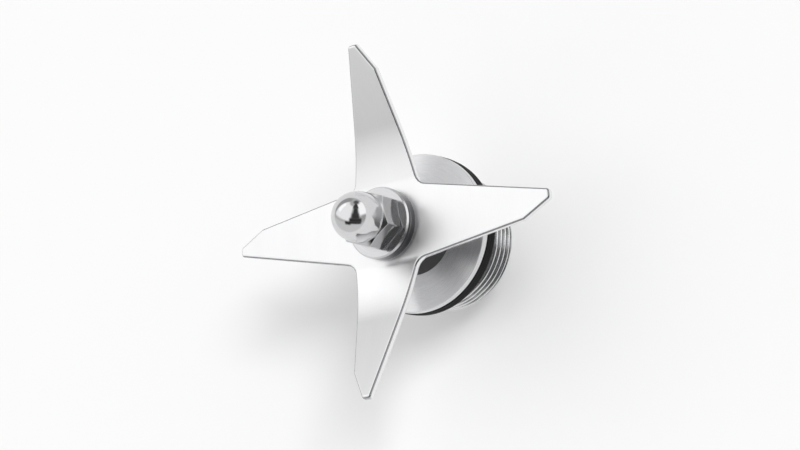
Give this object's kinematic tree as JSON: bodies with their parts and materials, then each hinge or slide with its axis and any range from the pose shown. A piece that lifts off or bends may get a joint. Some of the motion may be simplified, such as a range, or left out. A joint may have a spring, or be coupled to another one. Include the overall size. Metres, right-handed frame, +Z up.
{
  "type": "blender blade",
  "caption": "Blender blade unit: winged steel blade under a domed cap nut, on a bearing-mounted shaft in a flanged, threaded housing with a rubber gasket.",
  "frame": {"origin": "on the shaft's axis, level with the gasket's sealing face where the jar's bottom seats", "axes": "+Z up the shaft towards the cap nut, +X along the flat wings, +Y along the bent wings"},
  "size_m": [0.093, 0.0896, 0.0639],
  "materials": {
    "blade_steel": "fine brushed",
    "chrome": "polished",
    "washer_steel": "polished, faintly turned",
    "housing_steel": "turned",
    "shaft_steel": "ground",
    "bearing_steel": "ground",
    "shield_steel": "pressed sheet",
    "spring_steel": "oiled",
    "cage_brass": "pressed",
    "gasket_rubber": "matt, moulded",
    "seal_rubber": "matt, moulded"
  },
  "bodies": {
    "housing": {"bearing_housing": "housing_steel", "gasket": "gasket_rubber", "shaft_seal": "seal_rubber", "seal_spring": "spring_steel", "retaining_ring": "spring_steel", "upper_bearing_outer_ring": "bearing_steel", "upper_bearing_top_shield": "shield_steel", "upper_bearing_bottom_shield": "shield_steel", "lower_bearing_outer_ring": "bearing_steel", "lower_bearing_top_shield": "shield_steel", "lower_bearing_bottom_shield": "shield_steel"},
    "rotor": {"blade": "blade_steel", "cap_nut": "chrome", "upper_washer": "washer_steel", "lower_washer": "washer_steel", "drive_shaft": "shaft_steel", "spacer_collar": "shaft_steel", "upper_bearing_inner_ring": "bearing_steel", "lower_bearing_inner_ring": "bearing_steel"},
    "upper_cage": {"upper_bearing_balls": "bearing_steel", "upper_bearing_cage": "cage_brass"},
    "lower_cage": {"lower_bearing_balls": "bearing_steel", "lower_bearing_cage": "cage_brass"}
  },
  "joints": [
    {"name": "blade_spin", "type": "hinge", "parent": "housing", "child": "rotor", "pos_m": [0, 0, 0], "axis": [0, 0, 1], "continuous": true},
    {"name": "upper_cage_spin", "type": "hinge", "parent": "housing", "child": "upper_cage", "pos_m": [0, 0, 0], "axis": [0, 0, 1], "continuous": true},
    {"name": "lower_cage_spin", "type": "hinge", "parent": "housing", "child": "lower_cage", "pos_m": [0, 0, 0], "axis": [0, 0, 1], "continuous": true}
  ],
  "couplings": [
    {"joint": "upper_cage_spin", "follows": "blade_spin", "ratio": 0.38241},
    {"joint": "lower_cage_spin", "follows": "blade_spin", "ratio": 0.38241}
  ]
}
